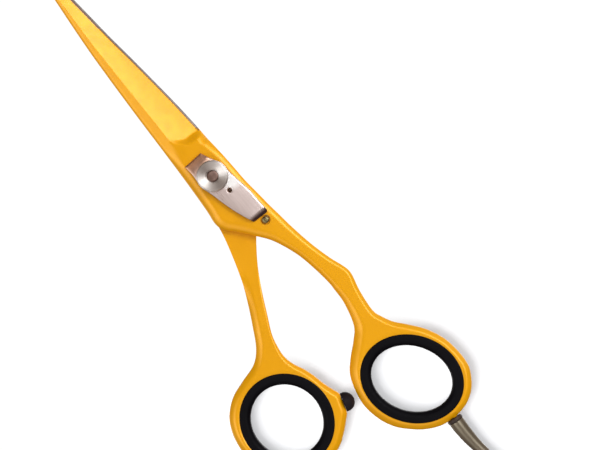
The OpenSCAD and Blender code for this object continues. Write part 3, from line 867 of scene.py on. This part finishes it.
# painted reflection: the pin's steel is tinted olive for the yellow enamel it reflects
PIN_STEEL_PAINTED_REFLECTION = steel("pin_steel", (158, 146, 104), rough=0.34, grain=EVEN_GRAIN)
# painted shade: the dowel seen in the leaf's hole is darkened to stand for the shade in the hole
DOWEL_STEEL_SHADED = steel("dowel_steel_painted_shade", (84, 66, 58), rough=0.4, grain=EVEN_GRAIN)
BRONZE = steel("bush_bronze", (190, 148, 88), rough=0.35)
REST_STEEL = steel("rest_satin_steel", (140, 131, 114), rough=0.42, grain=REST_GRAIN)
GLIDE_PLASTIC = plastic("glide_plastic", dark=(226, 223, 212), light=(238, 236, 228), rough=0.4)
COLLAR_RUBBER = plastic("collar_hard_rubber", dark=(46, 34, 28), light=(64, 48, 40), rough=0.5)


# ------------------------------------------------------------------ small pieces
def insert(name, hole):
    """Rubber ring with rounded lips over the ring's faces and a slightly bulged inside."""
    web, lip = WALL - 0.02, WALL + LIP - 0.02           # outward from the hole's edge
    groove, height = RING - SEAT + 0.02, RING + PROUD   # from the ring's middle plane
    top = rounded([(lip, groove, 0), (lip, height - 0.05, 0.45), (lip - 0.55, height, 0.5),
                   (1.0, height, 0.9), (0.12, height - 0.75, 0.9), (0.0, 0.0, 0)], steps=6)
    profile = [(web, -groove), (web, 0.0), (web, groove)] + top
    profile += [(grow, -z) for grow, z in top[::-1][1:]]
    count = 200
    vertices = np.vstack([np.c_[ellipse(hole, grow, count), np.full(count, z + PARTING)]
                          for grow, z in profile])
    rings = [range(k * count, (k + 1) * count) for k in range(len(profile))]
    faces = [f for a, b in zip(rings, rings[1:] + rings[:1]) for f in ring_faces(a, b)]
    return solid(name, vertices, faces, sharp=50)


# The leaf's long edges before it is turned, head to tail: x, y.
LEAF_RIGHT = [
    [2.35, 6.38], [2.66, 6.28], [3.1, 4.1], [3.55, 2.6], [3.88, 1.2], [4.0, 0], [3.92, -1.4],
    [3.65, -3.4], [3.56, -6], [3.48, -9], [3.28, -10.8], [2.95, -12.5], [2.45, -15.6],
    [2.25, -16.6], [1.85, -17.02]]
LEAF_LEFT = [
    [-2.55, 7.12], [-2.84, 6.92], [-3.2, 4.1], [-3.58, 2.6], [-3.95, 1.2], [-4.1, 0],
    [-4.02, -1.4], [-3.87, -3.4], [-3.76, -6.4], [-3.58, -9], [-3.35, -11], [-2.95, -13.4],
    [-2.65, -15], [-2.5, -15.75], [-2.1, -16.15]]


def leaf_underside(distance):
    """Height over the parting plane at a distance towards the tail, with soft bends."""
    low, high = FACE + 0.03, FACE + LEAF_LIFT
    taps = np.linspace(-0.3, 0.3, 7)
    return sum(np.interp(distance + tap, [-7.3, -4.2, 15.3, 16.55], [low, high, high, low])
               for tap in taps) / len(taps)


def leaf_spring():
    """Flat spring with softened edges: head flap and tail bent down, flared round the dial."""
    right = resample(smooth_rows(LEAF_RIGHT, steps=8), step=0.2)
    left = resample(smooth_rows(LEAF_LEFT, steps=8), step=0.2)
    head = resample(np.array([left[0], right[0]]), step=0.25)[1:-1]
    tail = resample(np.array([right[-1], left[-1]]), step=0.25)[1:-1]
    loop = np.vstack([right, tail, left[::-1], head])[::-1]
    pattern = Pattern(loop)
    pattern.insets((0.03, 0.08, 0.15, 0.26, 0.45))
    dowel, pivot = (0, -DOWEL_AT), (0, 0)
    for centre, radius, count in ((dowel, DOWEL_HOLE, 28), (pivot, LEAF_BORE, 40)):
        spokes = circle(centre, radius, count) - centre
        for grow in (0, 0.05, 0.12, 0.22):
            pattern.chain(spokes * (1 + grow / np.linalg.norm(spokes[0])) + centre, closed=True)
    x, y = np.meshgrid(np.arange(-4, 4, 0.3), np.arange(-16.8, 7.2, 0.3))
    grid = np.c_[x.ravel() + 0.01, y.ravel() + 0.013]
    grid = grid[inside(grid, loop)]
    grid = grid[dist_to(grid, loop, True) > 0.6]
    pattern.add(grid[(np.linalg.norm(grid - dowel, axis=1) > 0.95)
                     & (np.linalg.norm(grid, axis=1) > 1.95)])
    points, triangles = pattern.triangulate(
        voids=((dowel, DOWEL_HOLE * 0.985), (pivot, LEAF_BORE * 0.99)))

    x, along = points[:, 0], -points[:, 1]
    under = leaf_underside(along - TAIL_SLANT * x * ease((along - 10) / 4))
    to_edge = dist_to(points, loop, True)
    to_hole = np.maximum(np.linalg.norm(points - dowel, axis=1) - DOWEL_HOLE, 0)
    to_bore = np.maximum(np.linalg.norm(points, axis=1) - LEAF_BORE, 0)
    drop = (edge_drop(to_edge, width=0.42, depth=0.2, power=1.6)
            + edge_drop(to_hole, width=0.2, depth=0.12, power=1.5)
            + edge_drop(to_bore, width=0.15, depth=0.08, power=1.5))
    crown = 0.10 * (x / 3.5) ** 2
    upper = under + LEAF_THICK - drop - crown
    lower = under + edge_drop(to_edge, width=0.12, depth=0.06, power=1.6)
    faces, rim = skins(points, triangles)
    count = len(points)
    faces += [(a, count + a, count + b, b) for a, b in rim]
    vertices = turned(np.vstack([np.c_[points, upper], np.c_[points, lower]]), LEAF_TURN)
    vertices[:, 2] += PARTING
    return solid("leaf_spring_blade", vertices, faces, sharp=40)


def dial():
    """Round nut with a dished top."""
    base = OUTER + LEAF_LIFT + LEAF_THICK + 0.01
    bore, radius, height = 1.55, 4.2, DIAL_HEIGHT
    profile = rounded([
        (bore, 0.15, 0), (bore + 0.15, 0.0, 0.1), (radius - 0.25, 0, 0.12), (radius, 0.25, 0.15),
        (radius, height - 0.34, 0.2), (radius - 0.34, height, 0.2),
        (radius - 0.62, height - 0.02, 0.25), (bore + 0.55, height - 0.36, 0.3),
        (bore + 0.28, height - 0.42, 0.15), (bore, height - 0.72, 0.1), (bore, 0.16, 0)],
        steps=5)[:-1]
    return solid("dial_nut", *revolve([(r, z + base) for r, z in profile], 144), sharp=30)


def thread_depth(z, pitch, count):
    """Depth of a helical V groove round the ring at z: 0 at the crest, 1 at the root."""
    phase = ((z - angles(count) / (2 * math.pi) * pitch) / pitch) % 1
    return np.abs(2 * phase - 1)


def pivot_bolt():
    """Head with a fine edge, plain shank, keyed flats and a threaded end."""
    count, pitch = 96, 0.5
    start, end = OUTER + 0.05, OUTER + LEAF_LIFT + LEAF_THICK + DIAL_HEIGHT * 0.62
    head = rounded([(0.0, 0.0, 0), (HEAD_RADIUS - 0.35, 0.0, 0.2), (HEAD_RADIUS, 0.35, 0.2),
                    (HEAD_RADIUS, 1.1, 0.08), (BOLT_RADIUS, 1.1, 0)], steps=4)[1:]
    rows = [level(radius, z, count) for radius, z in head]
    rows += [level(BOLT_RADIUS, z, count) for z in (1.12, PARTING - 0.02)]
    rows += [level(BOLT_RADIUS, z, count, BOLT_FLAT) for z in (PARTING, OUTER - 0.02)]
    rows.append(level(1.42, start - 0.02, count))
    steps = int((end - start) / pitch * 12)
    for i in range(steps + 1):
        z = start + (end - start - 0.12) * i / steps
        fade = min(1, i / 6, (steps - i) / 6 + 0.15)
        rows.append(level(1.5 - 0.24 * thread_depth(z, pitch, count) * fade, z, count))
    rows += [level(1.34, end - 0.02, count), level(1.15, end, count)]
    vertices = np.vstack(rows + [np.array([[0, 0, 0.0], [0, 0, end]])])
    faces = tube_faces(len(rows), count)
    bottom, top, last = len(vertices) - 2, len(vertices) - 1, (len(rows) - 1) * count
    for j in range(count):
        k = (j + 1) % count
        faces += [(bottom, k, j), (top, last + j, last + k)]
    return solid("pivot_bolt_body", vertices, faces, sharp=32)


def pivot_bush():
    profile = chamfered_ring(2.05, BUSH_BORE - 0.01, z0=HEAD_SEAT_TOP,
                             z1=PARTING - WASHER_SEAT_DEPTH, chamfer=0.12)
    return solid("pivot_bush_sleeve", *revolve(profile, 72), sharp=30)


def glide_washer():
    profile = chamfered_ring(2.08, 4.2, z0=PARTING - 0.15, z1=PARTING + 0.15, chamfer=0.06)
    return solid("glide_washer_disc", *revolve(profile), sharp=30)


def pin(name, at, radius, top, dome):
    """Upright pin with a domed top, on the leaf's centre line."""
    bottom = PIN_FLOOR
    profile = [(0, bottom), (radius - 0.1, bottom), (radius, bottom + 0.1)]
    profile += rounded([(radius, bottom + 0.1, 0), (radius, top - dome, 0.12),
                        (radius - 0.12, top - dome * 0.45, 0.2), (radius * 0.45, top, 0.2),
                        (0, top, 0)], steps=5)[1:]
    vertices, faces = revolve(profile, 56)
    return solid(name, vertices + np.array([*on_leaf(at), 0]), faces, sharp=40)


def on_axis(name, profile, count, at, direction, sharp):
    """Body of revolution about a level axis."""
    vertices, faces = revolve(profile, count)
    return solid(name, along_axis(vertices, at, direction), faces, sharp)


def stop_dome():
    radius, height, base = 2.6, 3.1, 0.62
    dome = [(radius * math.cos(a), base + (height - base) * math.sin(a))
            for a in np.linspace(0.12, math.pi / 2, 12)]
    profile = [(0.0, 1.62), (0.81, 1.6), (0.82, 0.05), (radius - 0.12, 0.05), (radius, 0.2),
               (radius - 0.02, 0.42)] + dome[:-1] + [(0.0, height)]
    return on_axis("stop_dome", profile, 64, STOP_AT, STOP_DIR, sharp=40)


def stop_stud():
    profile = [(0, -2.6), (0.68, -2.6), (0.79, -2.45), (0.79, 1.4), (0.68, 1.5), (0, 1.5)]
    return on_axis("stop_stud", profile, 40, STOP_AT, STOP_DIR, sharp=30)


def finger_rest():
    """Curved horn: threaded stub, shoulder, gentle taper, rounded end."""
    count, bend, sweep, shoulder = 48, 45.0, math.radians(29), 1.07
    rows = []
    for i, z in enumerate(np.linspace(-2.4, 0.2, 48)):
        radius = ((1.2 - 0.2 * thread_depth(z, 0.45, count))
                  * (0.82 + 0.18 * min(1, i / 5)))
        rows.append(level(radius, z, count))
    for radius, z in [(1.1, 0.3), (1.1, shoulder), (1.7, shoulder), (1.92, 1.12), (1.99, 1.25)]:
        rows.append(level(radius, z, count))
    end = 0.93                                          # share of the sweep where the end rounds
    stations = list(np.linspace(0.012, end, 46))
    stations += [end + 0.07 * math.sin(a) for a in np.linspace(0.12, math.pi / 2 - 0.02, 12)]
    for u in stations:
        angle = sweep * u
        radius = mix(2.0, 1.42, float(ease(u / 0.6)))
        if u > end:
            radius *= math.sqrt(max(1 - ((u - end) / 0.0705) ** 2, 0.004))
        x, y, _ = level(radius, 0, count).T
        rows.append(np.c_[bend * (1 - math.cos(angle)) + x * math.cos(angle), y,
                          bend * math.sin(angle) + shoulder - x * math.sin(angle)])
    faces = tube_faces(len(rows), count)
    faces.append(tuple(range(count))[::-1])
    faces.append(tuple(range((len(rows) - 1) * count, len(rows) * count)))
    vertices = along_axis(np.vstack(rows), REST_AT, REST_DIR)
    return solid("finger_rest_horn", vertices, faces, sharp=32)


def rest_collar():
    profile = rounded([(1.26, 0.2, 0), (1.26, 0.05, 0.05), (2.1, 0.05, 0.18), (2.1, 1.05, 0.18),
                       (1.26, 1.05, 0.05), (1.26, 0.21, 0)], steps=4)[:-1]
    return on_axis("rest_collar_ring", profile, 64, REST_AT, REST_DIR, sharp=40)


place(finger_half(), "finger_side", ENAMEL, "enamel", "finger_half")
place(thumb_half(), "thumb_side", ENAMEL, "enamel", "thumb_half")
place(insert("finger_insert_ring", FINGER_HOLE),
      "finger_side", INSERT_RUBBER, "insert_rubber", "finger_ring_insert")
place(insert("thumb_insert_ring", THUMB_HOLE),
      "thumb_side", INSERT_RUBBER, "insert_rubber", "thumb_ring_insert")
place(leaf_spring(), "leaf", LEAF_STEEL, "spring_steel", "tension_leaf_spring")
place(dial(), "dial", DIAL_STEEL, "dial_steel", "tension_nut")
place(pivot_bolt(), "finger_side", BOLT_STEEL_SHADED, "bolt_steel", "pivot_bolt")
place(pivot_bush(), "thumb_side", BRONZE, "bush_bronze", "pivot_bush")
place(glide_washer(), "finger_side", GLIDE_PLASTIC, "glide_plastic", "glide_washer")
place(pin("tail_pin", TAIL_PIN_AT, radius=0.95, top=OUTER + 0.88, dome=0.3),
      "finger_side", PIN_STEEL_PAINTED_REFLECTION, "pin_steel", "spring_tail_pin")
place(pin("locating_dowel", DOWEL_AT, radius=0.48, top=OUTER + LEAF_LIFT + 0.25, dome=0.12),
      "finger_side", DOWEL_STEEL_SHADED, "pin_steel", "spring_locating_dowel")
place(stop_dome(), "thumb_side", STOP_RUBBER, "stop_rubber", "stop_bumper")
place(stop_stud(), "thumb_side", PIN_STEEL_PAINTED_REFLECTION, "pin_steel", "bumper_stud")
place(finger_rest(), "rest", REST_STEEL, "rest_steel", "finger_rest")
place(rest_collar(), "rest_collar", COLLAR_RUBBER, "collar_dark", "finger_rest_washer")

# ------------------------------------------------------------------ stage, metres
scene = bpy.context.scene
scene.view_settings.view_transform = "Standard"
scene.view_settings.look = "None"
scene.view_settings.exposure = 0.0

UP = Vector((0.643, 0.766, 0))          # up in the camera's view
RIGHT = Vector((0.766, -0.643, 0))      # right in the camera's view
TARGET = Vector((0.00935, -0.0246, 0.003))


def stage_material():
    """Light table: glows under the blades, takes shadows under the rings, clear from below."""
    m = Material("stage_white")
    clouds = m.ramp(m.noise(scale=14, detail=3))
    m.shade(Base_Color=m.mix(clouds, (0.198, 0.198, 0.2, 1), (0.204, 0.204, 0.206, 1)),
            Roughness=0.9, Specular_IOR_Level=0.0)
    glow = m.node("ShaderNodeEmission", {"Strength": 1.05}).outputs[0]
    toward_blades = m.measure("DOT_PRODUCT", m.place, UP * 0.93 - RIGHT * 0.37)
    glowing = m.ramp(toward_blades, span=(-0.0600, -0.0490), interpolation_type="SMOOTHSTEP")
    lit = m.node("ShaderNodeMixShader", {0: glowing, 1: m.bsdf.outputs[0], 2: glow}).outputs[0]
    below = m.node("ShaderNodeNewGeometry").outputs["Backfacing"]
    clear = m.node("ShaderNodeBsdfTransparent").outputs[0]
    both = m.node("ShaderNodeMixShader", {0: below, 1: lit, 2: clear}).outputs[0]
    m.put(m.output.inputs[0], both)
    return m.material


def make_floor():
    bm = bmesh.new()
    bmesh.ops.create_grid(bm, x_segments=8, y_segments=8, size=3.0)
    mesh = bpy.data.meshes.new("floor")
    bm.to_mesh(mesh)
    bm.free()
    obj = link(bpy.data.objects.new("floor", mesh))
    obj.location = (0, 0, -0.00006)
    mesh.materials.append(stage_material())
    obj.visible_glossy = obj.visible_diffuse = obj.visible_shadow = False
    return obj


floor = make_floor()

# Soft panels seen in reflections. Direction is (to the view's upper right, to its upper left).
PANEL_RIGHT = RIGHT * 0.743 + UP * 0.669
PANEL_LEFT = UP * 0.743 - RIGHT * 0.669
PANELS = [                              # direction, degrees from +Z, tightness, strength
    ((1, 0), 29, 26, 4.0), ((-0.92, 0.39), 44, 16, 1.75), ((-1, 0.3), 74, 6, 0.25),
    ((1, 0.1), 82, 4, 0.5), ((0, 1), 0.01, 30, 0.06), ((-0.67, -0.74), 45, 12, 0.8),
    ((1, 0), 150, 16, 2.2), ((-0.9, 0.4), 128, 12, 1.2)]
PANEL_FLOOR = 0.07                      # strength between the panels
EVEN_LIGHT = 0.75                       # strength for all but reflections


def make_world():
    """Even white light, and for reflections the panels, warm where they are dim."""
    world = bpy.data.worlds.new("world")
    scene.world = world
    world.use_nodes = True
    w = Tree(world.node_tree)
    ray = w.node("ShaderNodeTexCoord").outputs["Generated"]
    total = PANEL_FLOOR
    for (right, left), tilt, tightness, strength in PANELS:
        tilt = math.radians(tilt)
        level_part = (PANEL_RIGHT * right + PANEL_LEFT * left).normalized()
        direction = level_part * math.sin(tilt) + Vector((0, 0, math.cos(tilt)))
        off = w.math("SUBTRACT", w.measure("DOT_PRODUCT", ray, direction), 1.0)
        glow = w.math("EXPONENT", w.math("MULTIPLY", off, tightness), 0.0)
        total = w.math("ADD", w.math("MULTIPLY", glow, strength), total)
    glossy = w.node("ShaderNodeLightPath").outputs["Is Glossy Ray"]
    strength = w.mix(glossy, EVEN_LIGHT, total, kind="FLOAT")
    tint = w.mix(w.ramp(strength, span=(0.15, 0.9)), (1.0, 0.74, 0.60, 1), (1, 1, 1, 1))
    tone = w.mix(glossy, (1, 1, 1, 1), tint)
    background = w.node("ShaderNodeBackground", {0: tone, 1: strength})
    w.node("ShaderNodeOutputWorld", {0: background.outputs[0]})


make_world()


def area(name, at, size, power, receivers, glossy=False):
    """Square light aimed at the target, at (right, up, height) from it in the view."""
    light = bpy.data.lights.new(name, "AREA")
    light.energy, light.size = power, size
    obj = link(bpy.data.objects.new(name, light))
    right, up, height = at
    obj.location = TARGET + RIGHT * right + UP * up + Vector((0, 0, height))
    obj.rotation_mode = "QUATERNION"
    obj.rotation_quaternion = (TARGET - obj.location).to_track_quat("-Z", "Y")
    obj.visible_glossy = glossy
    collection = bpy.data.collections.new(name + "_receivers")
    for receiver in receivers:
        collection.objects.link(receiver)
    obj.light_linking.receiver_collection = collection
    return light


pieces = [o for o in bpy.data.objects if o.type == "MESH" and o is not floor]
pivot_steel = [o for o in pieces
               if o.name in ("leaf_spring_blade", "dial_nut", "pivot_bolt_body")]
horn = [o for o in pieces if o.name == "finger_rest_horn"]
area("floor_key", (-0.38, -0.31, 0.68), size=0.60, power=28.0, receivers=[floor])
floor_fill = area("floor_fill", (0.0, 0.0, 1.0), size=1.0, power=37.5, receivers=[floor])
floor_fill.use_shadow = False
floor_fill.color = (0.98, 0.985, 1.0)
area("sheen", (0.40, 0.36, 0.62), size=0.30, power=3.0, receivers=pieces)
area("steel_fill", (0.31, 0.28, 0.76), size=0.40, power=1.10, receivers=pivot_steel, glossy=True)
area("steel_top", (0.0, 0.0, 0.80), size=0.50, power=0.26, receivers=pivot_steel, glossy=True)
area("rest_fill", (-0.40, -0.16, 0.62), size=0.34, power=0.70, receivers=horn, glossy=True)


def make_camera(distance=0.9, view_width=0.1584):
    """Camera looking straight down, its distance counted from the parting plane."""
    data = bpy.data.cameras.new("camera")
    camera = link(bpy.data.objects.new("camera", data))
    data.sensor_width = 36
    data.lens = 36 * distance / view_width
    data.clip_start, data.clip_end = 0.05, 20
    camera.location = (TARGET.x, TARGET.y, distance + PARTING * MM)
    camera.rotation_mode = "QUATERNION"
    axes = Matrix((RIGHT, UP, Vector((0, 0, 1)))).transposed()
    camera.rotation_quaternion = axes.to_quaternion()
    scene.camera = camera


make_camera()
